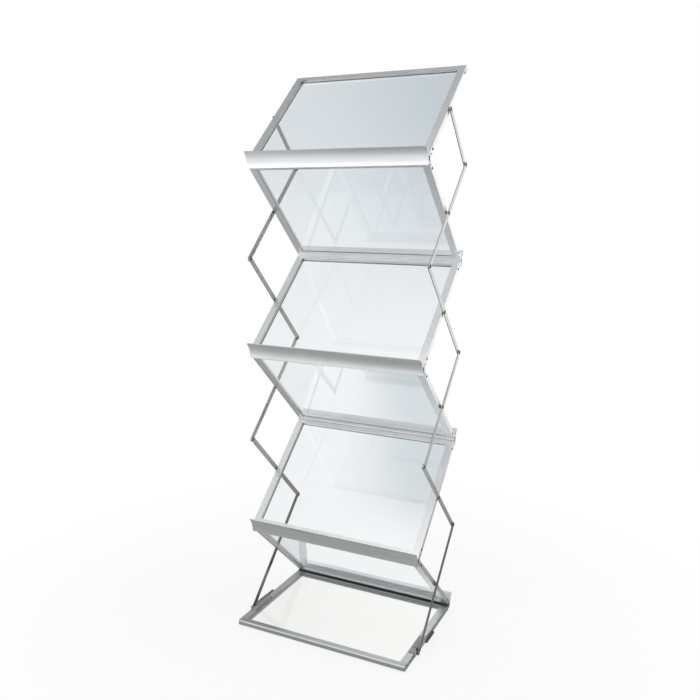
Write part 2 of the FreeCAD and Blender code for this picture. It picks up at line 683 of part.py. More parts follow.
def lever(world_side, place):
    """Clamp lever: a tapered grip that lies along the rail and swings out on the shoe's upright pin."""
    body = new_body(f"{world_side}_lever", place)
    low = "ear_high + fit_gap - shoe_drop"
    grip = new_sketch(body, "XY_Plane", low)
    outline(grip, (
        ("-lever_wide / 2", "0"), ("lever_wide / 2", "0"),
        ("lever_tip_wide / 2", "lever_long"), ("-lever_tip_wide / 2", "lever_long"),
    ))
    pad(body, grip, "lever_high")
    for along, radius in (("0", "lever_wide / 2"), ("lever_long", "lever_tip_wide / 2")):
        round_end = new_sketch(body, "XY_Plane", low)
        circle(round_end, "0", along, radius)
        pad(body, round_end, "lever_high")
    hole = new_sketch(body, "XY_Plane", low)
    circle(hole, "0", "0", "lever_pin_radius + screw_play")
    pocket(body, hole)
    return keep(body, f"{world_side}_lever")


def build_feet():
    """Shoes at the feet of the lowest arms, with their rivets and clamp levers."""
    foot = Placement(Vector(0, PIVOT_Y - HALF_RUN, HINGE_HEIGHT), Rotation())
    outer = LAYERS[1]
    profile = steps("shoe_gap", (
        ("shoe_gap + shoe_plate", "rivet_radius"),
        (f"{outer} - fit_gap", "rivet_head_radius"),
        (f"{outer} + arm_thick + fit_gap", "rivet_radius"),
        (f"{outer} + arm_thick + fit_gap + rivet_head_high", "rivet_head_radius"),
    ))
    lever_x = (size("stand_width") / 2 + size("shoe_gap") + size("shoe_plate") + size("fit_gap")
               + size("lever_wide") / 2)
    rivets = []
    for world_side, side in SIDES.items():
        shoe(world_side, foot)
        spot = moved(foot, across=side * size("stand_width") / 2, turn=on_side(side))
        rivets.append(turned("foot_rivet", profile, spot))
        lever(world_side, moved(foot, across=side * lever_x, along=size("shoe_back") - size("lever_inset")))
    group("foot_rivets", rivets)


build_base()
for number in range(1, PANELS + 1):
    build_panel(number)
    build_arms(number)
for number in range(1, PANELS):
    build_elbow(number)
build_feet()
doc.recompute()

# Nothing is written unless every feature and every piece came out whole
failed = [item.Label for item in doc.Objects if {"Invalid", "Error"} & set(item.State)]
empty = [node.Label for node in nodes if node.Shape.isNull() or not node.Shape.isValid()]
missed = [cut.Name for cut in cuts if cut.Shape.Volume >= cut.BaseFeature.Shape.Volume]
if failed or empty or missed:
    raise RuntimeError(f"failed features {failed}, empty or bad pieces {empty}, cuts that miss {missed}")

os.makedirs("parts", exist_ok=True)
for node in nodes:
    node.Shape.exportStep(f"parts/{node.Label}.step")
    print(node.Label, len(node.Shape.Solids), round(node.Shape.Volume))
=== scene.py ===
"""Looks of a folding brochure stand: six clear panels in satin aluminium frames on a flat base."""

import logging
import math
from dataclasses import dataclass
from enum import Enum

import bmesh
import bpy
import numpy as np
from mathutils import Matrix, Vector


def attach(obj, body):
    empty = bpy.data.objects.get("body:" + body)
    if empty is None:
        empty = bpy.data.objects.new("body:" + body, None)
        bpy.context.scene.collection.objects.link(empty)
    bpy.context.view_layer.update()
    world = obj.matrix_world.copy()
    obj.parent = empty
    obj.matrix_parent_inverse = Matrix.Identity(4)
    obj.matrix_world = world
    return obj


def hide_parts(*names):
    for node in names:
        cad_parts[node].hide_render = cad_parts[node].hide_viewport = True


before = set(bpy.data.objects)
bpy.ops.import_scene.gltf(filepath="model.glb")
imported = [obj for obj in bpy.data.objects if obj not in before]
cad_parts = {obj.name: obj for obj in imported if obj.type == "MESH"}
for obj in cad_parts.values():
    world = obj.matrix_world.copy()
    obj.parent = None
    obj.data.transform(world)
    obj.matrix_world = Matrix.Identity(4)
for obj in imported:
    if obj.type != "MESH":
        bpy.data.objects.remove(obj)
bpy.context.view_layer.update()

MM = 0.001
PANELS = 6
LIGHT_STEPS = 32                # light crosses both faces of up to seven clear sheets on its way
ROUND_STEPS = 36                # points round a turned piece
MERGE = 1e-7                    # points closer than this, in metres, become one
CREASE = math.radians(38.0)     # edges that turn by more than this are shaded as sharp
SHOT_SEAM = 0.4                 # seam between two colours of one moulding, in millimetres
WHITE = (1.0, 1.0, 1.0, 1.0)
LOG = logging.getLogger("brochure_stand")

Tree = bpy.types.NodeTree
Socket = bpy.types.NodeSocket
Colour = tuple[float, float, float, float]
Pair = tuple[float, float]
Point = tuple[float, float, float]


class Side(Enum):
    """Side of the stand, with the sign of its outward direction along X."""

    LEFT = -1
    RIGHT = 1


class Run(Enum):
    """Direction that a bar was drawn or extruded in, as degrees from level in the side view.

    Arms lie along the lines between hinges. Frames slope a little less, because their hinges are on opposite
    faces.
    """

    ACROSS = None
    LEVEL = 0.0
    RAIL_RISING = 42.41
    RAIL_FALLING = -42.41
    BAR_RISING = 44.6
    BAR_FALLING = -44.6


@dataclass(frozen=True)
class StandSizes:
    """Sizes of the stand in millimetres that more than one sub-assembly works from."""

    width: float = 476.0            # over the side rails
    pitch: float = 340.0            # from hinge to hinge of a panel
    open_angle: float = 44.6        # degrees of the line between them
    pivot_back: float = 29.32       # depth of the arms' pivots
    frame_thick: float = 13.0
    base_thick: float = 15.0
    base_deep: float = 328.0
    pad_high: float = 1.5
    cross_deep: float = 14.0
    front_deep: float = 16.0
    side_wide: float = 18.0
    sheet_seat: float = 7.0         # depth of the groove for a sheet
    sheet_thick: float = 3.0
    panel_lip: float = 1.9          # under a panel's groove
    base_lip: float = 1.9           # over the base's groove
    track_deep: float = 3.4         # of the shoes' tracks in the base's side rails
    wall: float = 1.6
    gap: float = 0.3                # play between pieces
    arm_gap: float = 1.5
    arm_thick: float = 2.5
    layer_gap: float = 0.5
    shoe_gap: float = 0.4
    shoe_plate: float = 2.8
    screw_inset: float = 10.0

    @property
    def half(self) -> float:
        """Half of the width."""
        return self.width / 2.0

    @property
    def rise(self) -> float:
        """Height of one panel between its hinges."""
        return self.pitch * math.sin(math.radians(self.open_angle))

    @property
    def half_run(self) -> float:
        """Hinge lines in front of and behind the arms' pivots."""
        return self.pitch * math.cos(math.radians(self.open_angle)) / 2.0

    @property
    def long(self) -> float:
        """Length of a panel's frame."""
        return math.sqrt(self.pitch ** 2 - self.frame_thick ** 2)

    @property
    def slope(self) -> float:
        """Slope of a panel's frame, in radians."""
        return math.radians(self.open_angle) - math.asin(self.frame_thick / self.pitch)

    @property
    def hinge_height(self) -> float:
        """Height of the lowest hinge."""
        return self.pad_high + self.base_thick

    @property
    def outer_layer(self) -> float:
        """Outer layer of arms off the side rails."""
        return self.arm_gap + self.arm_thick + self.layer_gap

    @property
    def chamber(self) -> float:
        """Inner wall of a side rail's hollow, from the middle of the stand."""
        return self.half - self.side_wide + self.sheet_seat + self.wall

    @property
    def base_front(self) -> float:
        """Depth of the base's front edge."""
        return self.pivot_back + self.half_run - self.base_deep

    def panel_place(self, number: int) -> Matrix:
        """Places a panel: origin on its lower hinge, Y up along it and Z out of its upper face.

        Args:
            number: Number of the panel from below.

        Returns:
            Turn and shift into the stand, in millimetres.
        """
        depth = self.pivot_back + (self.half_run if number % 2 else -self.half_run)
        turn = Matrix.Rotation(math.pi if number % 2 else 0.0, 4, "Z") @ Matrix.Rotation(self.slope, 4, "X")
        return Matrix.Translation((0.0, depth, self.hinge_height + (number - 1) * self.rise)) @ turn

    def spot(self, number: int, along: float, up: float) -> Pair:
        """Turns a point of a panel's own section into depth and height.

        Args:
            number: Number of the panel from below.
            along: Distance up the panel from its lower hinge.
            up: Distance out of its lower face.

        Returns:
            Depth and height in the stand.
        """
        away = along * math.cos(self.slope) - up * math.sin(self.slope)
        lift = along * math.sin(self.slope) + up * math.cos(self.slope)
        back = 1.0 if number % 2 else -1.0
        depth = self.pivot_back + back * (self.half_run - away)
        return depth, self.hinge_height + (number - 1) * self.rise + lift


SIZES = StandSizes()


def linear(code: str) -> Colour:
    """Turns an sRGB hex colour into linear light.

    Args:
        code: Six hex digits after a hash sign.

    Returns:
        Red, green, blue and a full alpha.
    """
    levels = np.array([int(code[i:i + 2], 16) for i in (1, 3, 5)]) / 255.0
    low, high = levels / 12.92, ((levels + 0.055) / 1.055) ** 2.4
    return (*np.where(levels <= 0.04045, low, high).tolist(), 1.0)


def add_node(tree: Tree, kind: str, inputs: dict | None = None, **settings: object) -> bpy.types.Node:
    """Adds one node with its settings, and fills or links its sockets.

    Args:
        tree: Node tree that takes it.
        kind: Blender's name for the node.
        inputs: Value, or output socket to link, for each input by name or place.
        settings: Properties of the node itself.

    Returns:
        The new node.
    """
    node = tree.nodes.new(kind)
    for name, value in settings.items():
        setattr(node, name, value)
    for key, value in (inputs or {}).items():
        if isinstance(value, Socket):
            tree.links.new(value, node.inputs[key])
        else:
            node.inputs[key].default_value = value
    return node


def ramp(tree: Tree, value: Socket, start: Pair, to: tuple[float | Socket, float | Socket],
         ease: bool = True) -> Socket:
    """Takes a value from one level to another.

    Args:
        tree: Node tree that takes the node.
        value: Socket to read.
        start: Where the change starts and ends.
        to: Levels, or sockets, at its start and end.
        ease: Whether it starts and ends softly, rather than along a straight line.

    Returns:
        The new level.
    """
    inputs = {"Value": value, "From Min": start[0], "From Max": start[1], "To Min": to[0], "To Max": to[1]}
    kind = "SMOOTHSTEP" if ease else "LINEAR"
    return add_node(tree, "ShaderNodeMapRange", inputs, interpolation_type=kind).outputs[0]


def reckon(tree: Tree, operation: str, *values: float | Socket) -> Socket:
    """Works out a sum, product or the like of values and sockets."""
    return add_node(tree, "ShaderNodeMath", dict(enumerate(values)), operation=operation).outputs[0]


def blend(tree: Tree, share: float | Socket, first: Colour | Socket, second: Colour | Socket) -> Socket:
    """Mixes two colours; a share of 0 gives the first, and 1 the second."""
    return add_node(tree, "ShaderNodeMix", {0: share, 6: first, 7: second}, data_type="RGBA").outputs[2]


def noise(tree: Tree, place: Socket, size: float, detail: float) -> Socket:
    """Adds smooth noise.

    Args:
        tree: Node tree that takes the node.
        place: Coordinates to read.
        size: Size of its patches in millimetres.
        detail: Count of finer layers on top.

    Returns:
        Its level, from 0 to 1.
    """
    inputs = {"Vector": place, "Scale": 1.0 / (size * MM), "Detail": detail}
    return add_node(tree, "ShaderNodeTexNoise", inputs).outputs["Fac"]


def new_tree(name: str) -> tuple[bpy.types.Material, Tree, Socket]:
    """Makes an empty node material.

    Args:
        name: Name of the material.

    Returns:
        The material, its node tree, and the Object coordinates of a piece.
    """
    material = bpy.data.materials.new(name)
    material.use_nodes = True
    tree = material.node_tree
    tree.nodes.clear()
    return material, tree, add_node(tree, "ShaderNodeTexCoord").outputs["Object"]


@dataclass(frozen=True)
class DrawnAluminium:
    """Extruded or drawn aluminium, satin etched and clear anodised.

    The etch gives a soft, even sheen, and the die leaves faint lines along the bar, a shade lighter or
    darker. Lengths are in millimetres.
    """

    name: str
    tone: str
    shade: str
    run: Run
    smooth: float = 0.31
    rough: float = 0.37
    line_wide: float = 4.5              # real die lines are under 1 mm; drawn this coarse so that they show
    line_long: float = 220.0
    cloud: float = 70.0
    tone_range: Pair = (0.65, 1.35)     # of lines and clouds together, from all shade to all tone
    etch: float = 0.5
    etch_range: Pair = (0.3, 0.7)
    seam: Pair | None = None            # depth and height of a hinge whose seam gets painted shade
    seam_wide: float = 6.5
    seam_full: float = 0.6              # share of its width that is all painted shade
    # colour of the painted shade in a hinge's seam
    seam_shade_tone: str = "#2C2A28"
    inner: float | None = None          # walls this near to the middle plane face the sheet, and get painted shade
    inner_ease: float = 0.3
    # colour of the painted shade on walls that face the sheet
    wall_shade_tone: str = "#C2C7C5"

    def material(self) -> bpy.types.Material:
        """Builds the finish: die lines in its tone, and an etched grain in its gloss.

        Painted shade may darken the seam of a hinge, and walls near the middle plane, which face the sheet,
        get a greyer painted shade.

        Returns:
            The material.
        """
        material, tree, place = new_tree(self.name)
        wide, long = self.line_wide * MM, self.line_long * MM
        if self.run is Run.ACROSS:
            turn, cell = 0.0, (long, wide, wide)
        else:
            turn, cell = math.radians(self.run.value), (wide, long, wide)
        along = add_node(tree, "ShaderNodeMapping",
                         {"Vector": place, "Rotation": (turn, 0.0, 0.0), "Scale": cell},
                         vector_type="TEXTURE")
        lines = add_node(tree, "ShaderNodeTexNoise",
                         {"Vector": along.outputs[0], "Scale": 1.0, "Detail": 1.0})
        both = reckon(tree, "ADD", lines.outputs["Fac"], noise(tree, place, self.cloud, 2.0))
        share = ramp(tree, both, self.tone_range, (0.0, 1.0), ease=False)
        shown = blend(tree, share, linear(self.shade), linear(self.tone))
        # painted shade: darkens a band round the hinge's line, all the way near its middle
        if self.seam:
            line = (0.0, self.seam[0] * MM, self.seam[1] * MM)
            section = add_node(tree, "ShaderNodeVectorMath", {0: place, 1: (0.0, 1.0, 1.0)},
                               operation="MULTIPLY")
            away = add_node(tree, "ShaderNodeVectorMath", {0: section.outputs[0], 1: line},
                            operation="DISTANCE")
            reach = (self.seam_full * self.seam_wide * MM, self.seam_wide * MM)
            seam_shade = ramp(tree, away.outputs["Value"], reach, (1.0, 0.0))
            shown = blend(tree, seam_shade, shown, linear(self.seam_shade_tone))
        # painted shade: walls that face the sheet are greyer
        if self.inner:
            part = add_node(tree, "ShaderNodeSeparateXYZ", {0: place}).outputs
            aside = reckon(tree, "ABSOLUTE", part["X"])
            bare = ramp(tree, aside, (self.inner * MM, (self.inner + self.inner_ease) * MM), (1.0, 0.0))
            shown = blend(tree, bare, shown, linear(self.wall_shade_tone))
        grain = noise(tree, place, self.etch, 1.0)
        gloss = ramp(tree, grain, self.etch_range, (self.smooth, self.rough), ease=False)
        surface = add_node(tree, "ShaderNodeBsdfPrincipled",
                           {"Base Color": shown, "Roughness": gloss, "Metallic": 1.0})
        add_node(tree, "ShaderNodeOutputMaterial", {"Surface": surface.outputs[0]})
        return material


@dataclass(frozen=True)
class CastAcrylic:
    """Cast clear acrylic sheet with polished faces.

    It lets nearly all light through, tints it a pale blue-green where it is looked at edge on, and mirrors
    the room softly. Lengths are in millimetres.
    """

    name: str
    tint: str
    haze: str
    depth_tint: str
    density: float
    index: float = 1.49
    smudge: float = 60.0
    smudge_range: Pair = (0.4, 0.8)
    smudge_rough: float = 0.02
    ripple: float = 140.0
    ripple_high: float = 1.0
    ripple_share: float = 0.15

    def material(self) -> bpy.types.Material:
        """Builds the finish: a clear body that absorbs a little, and a slow ripple on its faces.

        Returns:
            The material.
        """
        material, tree, place = new_tree(self.name)
        marks = noise(tree, place, self.smudge, 3.0)
        colour = blend(tree, marks, linear(self.tint), linear(self.haze))
        gloss = ramp(tree, marks, self.smudge_range, (0.0, self.smudge_rough), ease=False)
        swell = noise(tree, place, self.ripple, 0.0)
        relief = add_node(tree, "ShaderNodeBump",
                          {"Height": swell, "Strength": self.ripple_share, "Distance": self.ripple_high * MM})
        surface = add_node(tree, "ShaderNodeBsdfPrincipled",
                           {"Base Color": colour, "Roughness": gloss, "IOR": self.index,
                            "Transmission Weight": 1.0, "Normal": relief.outputs[0]})
        body = add_node(tree, "ShaderNodeVolumeAbsorption",
                        {"Color": linear(self.depth_tint), "Density": self.density})
        add_node(tree, "ShaderNodeOutputMaterial", {"Surface": surface.outputs[0], "Volume": body.outputs[0]})
        return material


@dataclass(frozen=True)
class TurnedSteel:
    """Turned steel, plated or blackened.

    Tool marks and a thin plating give it a dark, slightly uneven gloss. Lengths are in millimetres.
    """

    name: str
    tone: str
    shade: str
    rough: float
    rough_spread: float = 0.08
    mottle: float = 1.6

    def material(self) -> bpy.types.Material:
        """Builds the finish: a mottled plating whose gloss is as uneven as its tone.

        Returns:
            The material.
        """
        material, tree, place = new_tree(self.name)
        spots = noise(tree, place, self.mottle, 3.0)
        colour = blend(tree, spots, linear(self.shade), linear(self.tone))
        levels = (self.rough - self.rough_spread, self.rough + self.rough_spread)
        gloss = ramp(tree, spots, (0.0, 1.0), levels, ease=False)
        surface = add_node(tree, "ShaderNodeBsdfPrincipled",
                           {"Base Color": colour, "Roughness": gloss, "Metallic": 1.0})
        add_node(tree, "ShaderNodeOutputMaterial", {"Surface": surface.outputs[0]})
        return material


@dataclass(frozen=True)
class Nose:
    """Second shot of a moulding in its own colour, with its places in the stand in millimetres."""

    tone: str
    front: float
    back: float
    inside: float       # from the middle plane


@dataclass(frozen=True)
class MouldedPolymer:
    """Moulded nylon or rubber.

    A fine spark-eroded grain makes it matt, with a dusting that lightens it a little in patches. Lengths are
    in millimetres.
    """

    name: str
    tone: str
    dust: str
    rough: float
    nose: Nose | None = None
    patch: float = 18.0
    grain: float = 0.7
    grain_deep: float = 0.1
    grain_share: float = 0.25

    def material(self) -> bpy.types.Material:
        """Builds the finish: patches of dust over a grained, matt body, and a nose in its own colour.

        Returns:
            The material.
        """
        material, tree, place = new_tree(self.name)
        shown = blend(tree, noise(tree, place, self.patch, 4.0), linear(self.tone), linear(self.dust))
        if self.nose:
            front, back, inside = self.nose.front, self.nose.back, self.nose.inside
            part = add_node(tree, "ShaderNodeSeparateXYZ", {0: place}).outputs
            aside = reckon(tree, "ABSOLUTE", part["X"])
            outer = ramp(tree, aside, ((inside - SHOT_SEAM) * MM, inside * MM), (0.0, 1.0))
            past = ramp(tree, part["Y"], ((front - SHOT_SEAM) * MM, front * MM), (0.0, outer))
            within = ramp(tree, part["Y"], (back * MM, (back + SHOT_SEAM) * MM), (past, 0.0))
            shown = blend(tree, within, shown, linear(self.nose.tone))
        pits = noise(tree, place, self.grain, 1.0)
        relief = add_node(tree, "ShaderNodeBump",
                          {"Height": pits, "Strength": self.grain_share, "Distance": self.grain_deep * MM})
        surface = add_node(tree, "ShaderNodeBsdfPrincipled",
                           {"Base Color": shown, "Roughness": self.rough, "Normal": relief.outputs[0]})
        add_node(tree, "ShaderNodeOutputMaterial", {"Surface": surface.outputs[0]})
        return material


Finish = DrawnAluminium | CastAcrylic | TurnedSteel | MouldedPolymer

INNER_WALL = SIZES.half - SIZES.side_wide
LOW_HINGE = (SIZES.pivot_back + SIZES.half_run, SIZES.hinge_height)
RAIL_TONES = {"tone": "#EBECED", "shade": "#E2E4E5"}
BAR_GLOSS = {"smooth": 0.24, "rough": 0.30}
BAR_LOOKS = {"tone": "#B9B8B4", "shade": "#ABAAA6", **BAR_GLOSS}

RAIL_FINISH = {
    Run.ACROSS: DrawnAluminium("anodised_aluminium_cross_rail", run=Run.ACROSS, **RAIL_TONES),
    # base's side rails: the rails' aluminium a little darker, as painted shade
    Run.LEVEL: DrawnAluminium("anodised_aluminium_base_rail_shaded", run=Run.LEVEL, tone="#DEE1E2", shade="#D5D8D9"),
    # side rails of panels 2, 4 and 6, with painted shade on their walls that face the sheet
    Run.RAIL_RISING: DrawnAluminium("anodised_aluminium_rising_rail_shaded_wall", run=Run.RAIL_RISING, inner=INNER_WALL,
                                    **RAIL_TONES),
    Run.RAIL_FALLING: DrawnAluminium("anodised_aluminium_falling_rail", run=Run.RAIL_FALLING, **RAIL_TONES),
}
# base's front and rear rails: the same aluminium in darker tones, as painted shade; the rear one also has
# painted shade in the lowest hinge's seam
SHADED_FRONT_FINISH = DrawnAluminium("anodised_aluminium_front_rail_shaded", run=Run.ACROSS, tone="#CFD2D3",
                              shade="#C5C9CA")
SHADED_REAR_FINISH = DrawnAluminium("anodised_aluminium_rear_rail_shaded", run=Run.ACROSS, tone="#BCC4C4",
                             shade="#B0B8B8", seam=LOW_HINGE)
# panel 1's gutter rail: the rails' aluminium with painted shade in the lowest hinge's seam
SHADED_LOW_HINGE_FINISH = DrawnAluminium("anodised_aluminium_lowest_hinge_shaded_seam", run=Run.ACROSS, seam=LOW_HINGE,
                                  **RAIL_TONES)
BAR_FINISH = {
    Run.BAR_RISING: DrawnAluminium("drawn_aluminium_rising_bar", run=Run.BAR_RISING, **BAR_LOOKS),
    Run.BAR_FALLING: DrawnAluminium("drawn_aluminium_falling_bar", run=Run.BAR_FALLING, **BAR_LOOKS),
}
# lowest arms: the bars' aluminium in a much darker tone, as painted shade
SHADED_LOWEST_BAR_FINISH = DrawnAluminium("drawn_aluminium_lowest_bar_shaded", run=Run.BAR_RISING, tone="#85837F",
                                   shade="#787672", **BAR_GLOSS)
SHEET_FINISH = CastAcrylic("cast_clear_acrylic", tint="#FAFAFB", haze="#F6F7F8", depth_tint="#C6DEE6",
                           density=30.0)
BASE_SHEET_FINISH = CastAcrylic("cast_clear_acrylic_base", tint="#FEFDFB", haze="#FBFAF7",
                                depth_tint="#CFE6E6", density=25.0)
RIVET_FINISH = TurnedSteel("zinc_plated_steel", tone="#77777A", shade="#5E5E60", rough=0.30)
SCREW_FINISH = TurnedSteel("blackened_steel", tone="#2C2C2E", shade="#1B1B1C", rough=0.40)
KEY_FINISH = TurnedSteel("cast_zinc_key", tone="#9A9B9D", shade="#838486", rough=0.45, mottle=6.0)
SHOE_FINISH = MouldedPolymer("moulded_grey_nylon", tone="#9A9D9E", dust="#A6A8A9", rough=0.42,
                             nose=Nose("#232426", front=-106.0, back=-94.0, inside=238.2))
LEVER_FINISH = MouldedPolymer("moulded_black_nylon", tone="#3A3938", dust="#4A4948", rough=0.45)
PAD_FINISH = MouldedPolymer("moulded_black_rubber", tone="#161616", dust="#242424", rough=0.75)


def made(finish: Finish) -> bpy.types.Material:
    """Gives a finish's material, built on first use."""
    return bpy.data.materials.get(finish.name) or finish.material()


def dress(node: str, finish: Finish) -> None:
    """Puts a finish on a piece of the frame.

    Args:
        node: Name of the piece.
        finish: Finish that it gets.
    """
    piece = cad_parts[node]
    for held in piece.material_slots:
        held.link = "OBJECT"
        held.material = made(finish)
    LOG.info("dressed %s in %s", node, finish.name)


def quads(rows: int, columns: int) -> np.ndarray:
    """Corner numbers of a grid's faces; the grid closes on itself across its columns.

    Args:
        rows: Count of rows.
        columns: Count of columns.

    Returns:
        One row of four corner numbers for each face.
    """
    row, column = np.meshgrid(np.arange(rows - 1), np.arange(columns), indexing="ij")
    here, there = row * columns, (column + 1) % columns
    corners = (here + column, here + there, here + columns + there, here + columns + column)
    return np.stack(corners, axis=-1).reshape(-1, 4)


def new_piece(name: str, grids: list[np.ndarray], finish: Finish, body: str,
              replaces: tuple[str, ...]) -> None:
    """Joins closed grids of points into one piece that rides on a body.

    Args:
        name: Name of the piece.
        grids: Grids of points in millimetres, each rows by columns by three, closed across its columns.
        finish: Finish of the piece.
        body: Body that carries it.
        replaces: Nodes of the frame that it stands for.
    """
    starts = np.cumsum([0] + [grid.shape[0] * grid.shape[1] for grid in grids])
    points = np.concatenate([grid.reshape(-1, 3) for grid in grids]) * MM
    faces = np.concatenate([quads(*grid.shape[:2]) + start for grid, start in zip(grids, starts)])
    mesh = bpy.data.meshes.new(name)
    mesh.from_pydata(points.tolist(), [], faces.tolist())
    shell = bmesh.new()
    shell.from_mesh(mesh)
    bmesh.ops.remove_doubles(shell, verts=shell.verts, dist=MERGE)
    bmesh.ops.recalc_face_normals(shell, faces=shell.faces)
    shell.to_mesh(mesh)
    shell.free()
    mesh.shade_smooth()
    mesh.set_sharp_from_angle(angle=CREASE)
    mesh.materials.append(made(finish))
    piece = bpy.data.objects.new(name, mesh)
    bpy.context.scene.collection.objects.link(piece)
    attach(piece, body)
    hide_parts(*replaces)
    LOG.info("built %s with %d faces on %s", name, len(mesh.polygons), body)


def lathe(profile: np.ndarray, seat: Point, axis: Point, corners: np.ndarray | None = None) -> np.ndarray:
    """Turns a profile round an axis.

    A point stands its own height along the axis from the seat and its radius away from it, at each angle.
    Where the profile is a socket, the radius swells towards the six corners: flat over the cosine of the
    angle from the middle of its flat.

    Args:
        profile: Rows of height along the axis and radius, in millimetres, from pole to pole.
        seat: Point on the axis where the height is zero.
        axis: Direction of the axis.
        corners: Share of a six-sided outline in each row, from 0 to 1.

    Returns:
        Grid of points, profile rows by angles by three.
    """
    angle = np.linspace(0.0, 2.0 * math.pi, ROUND_STEPS, endpoint=False)
    flat = math.pi / 3.0
    swell = 1.0 / np.cos(np.mod(angle, flat) - flat / 2.0) - 1.0
    share = np.zeros(len(profile)) if corners is None else corners
    radius = profile[:, 1, None] * (1.0 + share[:, None] * swell[None, :])
    along = np.array(axis, float)
    first = np.array((0.0, 1.0, 0.0))
    second = np.cross(along, first)
    spread = np.cos(angle)[:, None] * first + np.sin(angle)[:, None] * second
    return np.array(seat) + profile[:, 0, None, None] * along + radius[:, :, None] * spread[None, :, :]


def dome(radius: float, high: float, rim: float, steps: int = 8) -> np.ndarray:
    """Profile of a domed head: a quarter ellipse from its crown to the top of a straight rim.

    Args:
        radius: Radius of the head.
        high: Height of the crown over the seat.
        rim: Height of the rim over the seat.
        steps: Count of points.

    Returns:
        Rows of height and radius from the crown to the rim.
    """
    turn = np.linspace(0.0, math.pi / 2.0, steps)
    return np.stack((rim + (high - rim) * np.cos(turn), radius * np.sin(turn)), axis=1)


@dataclass(frozen=True)
class Rivet:
    """Steel rivet with domed heads, turned about X; sizes in millimetres, and round ones are radii."""

    shank: float = 2.5
    head: float = 4.4
    head_high: float = 1.5
    set_high: float = 0.8
    rim: float = 0.35

    def outer_head(self, seat: float) -> np.ndarray:
        """Rows from the crown of the outer head down to its seat."""
        crown = dome(self.head, self.head_high, self.rim) + (seat, 0.0)
        return np.vstack((crown, ((seat, self.head), (seat, self.shank))))

    def inner_head(self, seat: float) -> np.ndarray:
        """Rows from the seat of the inner head to its crown."""
        crown = dome(self.head, -self.set_high, -self.rim)[::-1] + (seat, 0.0)
        return np.vstack((((seat, self.shank), (seat, self.head)), crown))

    def at(self, rows: np.ndarray, side: Side, depth: float, height: float) -> np.ndarray:
        """Turns a rivet's rows at a place on one side of the stand."""
        return lathe(rows, (side.value * SIZES.half, depth, height), (side.value, 0.0, 0.0))


@dataclass(frozen=True)
class SocketScrew:
    """Button-head screw with a hexagon socket; sizes in millimetres, and round ones are radii."""

    shank: float = 2.0
    long: float = 7.0
    head: float = 3.2
    head_high: float = 1.0
    socket: float = 1.15
    socket_deep: float = 0.9
    socket_edge: float = 1.2        # flat round the socket, in shares of its radius
    crown_from: float = 1.3         # where the dome starts, in shares of the socket's radius
    rim: float = 0.3

    def at(self, seat: Point, axis: Point) -> np.ndarray:
        """Turns a screw with its head's seat at a point.

        Args:
            seat: Point under the head.
            axis: Direction out of the head.

        Returns:
            Grid of points.
        """
        deep, top = self.head_high - self.socket_deep, self.head_high
        crown = dome(self.head, self.head_high, self.rim)
        crown = crown[crown[:, 1] > self.socket * self.crown_from]
        hollow = ((deep, 0.0), (deep, self.socket), (top, self.socket), (top, self.socket * self.socket_edge))
        shaft = ((0.0, self.head), (0.0, self.shank), (-self.long, self.shank), (-self.long, 0.0))
        rows = np.vstack((hollow, crown, shaft))
        corners = np.zeros(len(rows))
        corners[1:3] = 1.0      # the socket's wall, from its floor to its mouth
        return lathe(rows, seat, axis, corners)


@dataclass(frozen=True)
class CornerKey:
    """Cast key in the hollow of a side rail, with a tongue in the cross rail's groove; in millimetres."""

    long: float = 22.0
    rounding: float = 0.6

    def four(self, place: Matrix, ends: Pair, outer: float, thick: float,
             groove: float) -> list[np.ndarray]:
        """Builds the four keys of a frame, each a block with its tongue.

        Args:
            place: Frame of the rails, in millimetres.
            ends: Where the side rails start and end along Y.
            outer: Outer wall of the hollow, from the middle of the stand.
            thick: Thickness of the frame.
            groove: Middle of the sheet's groove above the frame's lower face.

        Returns:
            Grids of points.
        """
        near, far = SIZES.chamber + SIZES.gap, outer - SIZES.gap
        floor, thin, deep = SIZES.wall + SIZES.gap, SIZES.sheet_thick / 2.0, SIZES.sheet_seat - SIZES.gap
        grids = []
        for side in Side:
            left, right = sorted((side.value * near, side.value * far))
            for end, inward in zip(ends, (1.0, -1.0)):
                block, tongue = sorted((end, end + inward * self.long)), sorted((end, end - inward * deep))
                for along, low, high in ((block, floor, thick - floor),
                                         (tongue, groove - thin, groove + thin)):
                    grids.append(self.bar((left, along[0], low), (right, along[1], high), place))
        return grids

    def bar(self, low: Point, high: Point, place: Matrix) -> np.ndarray:
        """Carries a rectangle with eased corners along its own length, and closes both ends.

        Args:
            low: Lowest corner in the key's own frame.
            high: Highest corner.
            place: Turn and shift into the stand, in millimetres.

        Returns:
            Grid of points.
        """
        middle, half = (np.array(high) + low) / 2.0, (np.array(high) - low) / 2.0
        # each corner of the ring: its sides across and upward, and the way it is eased along both
        ring = np.array(((-1, -1, 1, 0), (-1, -1, 0, 1), (-1, 1, 0, -1), (-1, 1, 1, 0),
                         (1, 1, -1, 0), (1, 1, 0, -1), (1, -1, 0, 1), (1, -1, -1, 0)), float)
        across = middle[0] + ring[:, 0] * half[0] + ring[:, 2] * self.rounding
        upward = middle[2] + ring[:, 1] * half[2] + ring[:, 3] * self.rounding
        ends = np.array((low[1], low[1], high[1], high[1]))
        width = np.array((0.0, 1.0, 1.0, 0.0))[:, None]
        grid = np.stack((middle[0] + width * (across - middle[0]),
                         np.repeat(ends[:, None], len(ring), axis=1),
                         middle[2] + width * (upward - middle[2])), axis=-1)
        turn = np.array(place)
        return grid @ turn[:3, :3].T + turn[:3, 3]


